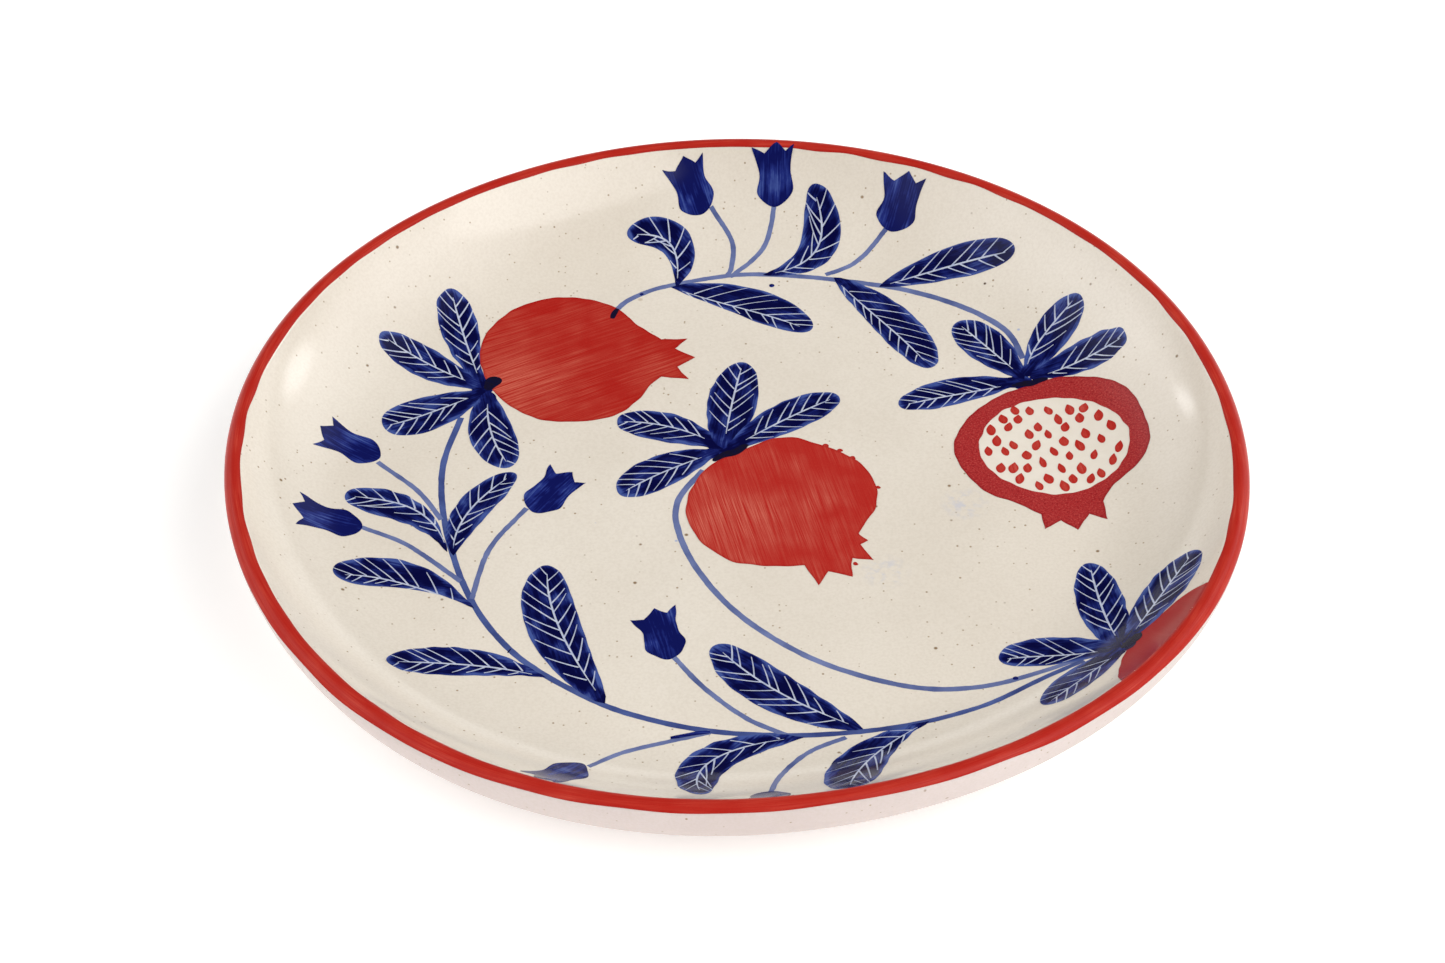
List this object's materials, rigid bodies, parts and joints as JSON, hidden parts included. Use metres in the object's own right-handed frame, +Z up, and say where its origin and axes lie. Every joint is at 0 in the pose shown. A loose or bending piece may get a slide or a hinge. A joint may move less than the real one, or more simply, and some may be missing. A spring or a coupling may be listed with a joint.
{
  "type": "plate",
  "caption": "Round ceramic dinner plate with a foot ring, a red rim band and hand painted pomegranates, leaves and tulips on a cream glaze.",
  "frame": {"origin": "centre of the foot ring's underside, on the table", "axes": "+Z up along the plate's axis; -Y is the bottom of the painted picture, +X its right"},
  "size_m": [0.2662, 0.2662, 0.0272],
  "materials": {
    "clay": "matte unglazed stoneware",
    "cream_glaze": "glossy, with fine specks",
    "pale_glaze": "glossy",
    "red_paint": "brushed red under gloss",
    "dark_red_paint": "grainy dark red under gloss",
    "blue_paint": "cobalt under gloss, veins scratched through",
    "stem_paint": "thin cobalt wash under gloss"
  },
  "bodies": {
    "root": {"clay_body": "clay", "foot_ring": "clay", "face_glaze": "cream_glaze", "back_glaze": "pale_glaze", "base_glaze": "pale_glaze", "rim_band": "red_paint", "pomegranate_left": "red_paint", "pomegranate_centre": "red_paint", "pomegranate_edge": "red_paint", "pomegranate_cut_rind": "dark_red_paint", "pomegranate_seeds": "red_paint", "leaves_left": "blue_paint", "leaves_centre": "blue_paint", "leaves_cut": "blue_paint", "leaves_edge": "blue_paint", "leaves_upper_vine": "blue_paint", "leaves_left_vine": "blue_paint", "leaves_lower_vine": "blue_paint", "tulips_upper": "blue_paint", "tulips_left": "blue_paint", "tulips_lower": "blue_paint", "upper_vine": "stem_paint", "left_vine": "stem_paint", "inner_vine": "stem_paint", "flower_stalks": "stem_paint"}
  },
  "joints": []
}
